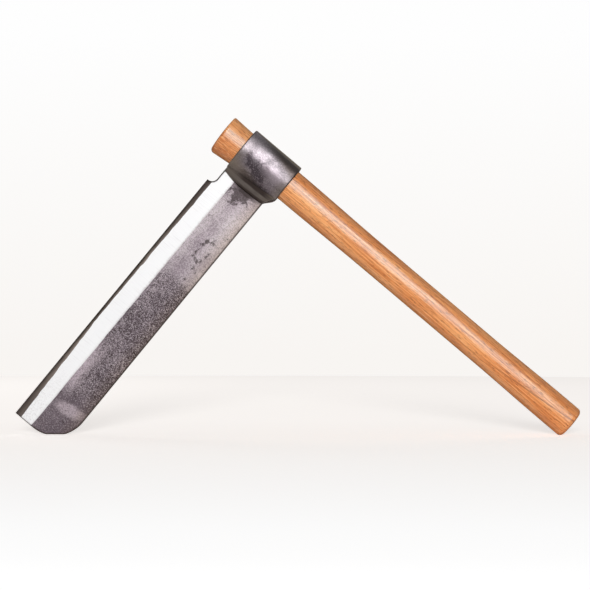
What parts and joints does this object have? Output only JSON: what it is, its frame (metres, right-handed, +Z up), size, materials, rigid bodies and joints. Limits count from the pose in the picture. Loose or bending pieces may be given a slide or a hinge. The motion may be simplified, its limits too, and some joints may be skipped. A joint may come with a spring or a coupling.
{
  "type": "froe",
  "caption": "Splitting froe: a long double-bevelled steel blade welded under a tapered eye, with a tapered wooden handle that drops through the eye at right angles to the blade.",
  "frame": {"origin": "middle of the footprint, on the floor that the blade's toe and the handle's tail stand on", "axes": "+X from the blade's toe to the handle's tail, +Y through the blade's thickness, +Z up"},
  "size_m": [0.5599, 0.0476, 0.3133],
  "materials": {
    "blade_steel": "forged grey scale on the flats, bright ground bevels",
    "eye_steel": "dark forge scale, worn bright on top",
    "weld_steel": "dark dressed weld",
    "handle_wood": "oiled straight-grained hardwood"
  },
  "bodies": {
    "head": {"blade": "blade_steel", "eye": "eye_steel", "weld_front": "weld_steel", "weld_back": "weld_steel"},
    "handle": {"handle": "handle_wood"}
  },
  "joints": [
    {"name": "handle_draw", "type": "slide", "parent": "head", "child": "handle", "axis": [-0.7648, 0, 0.6443], "range_m": [0, 0.44]}
  ]
}
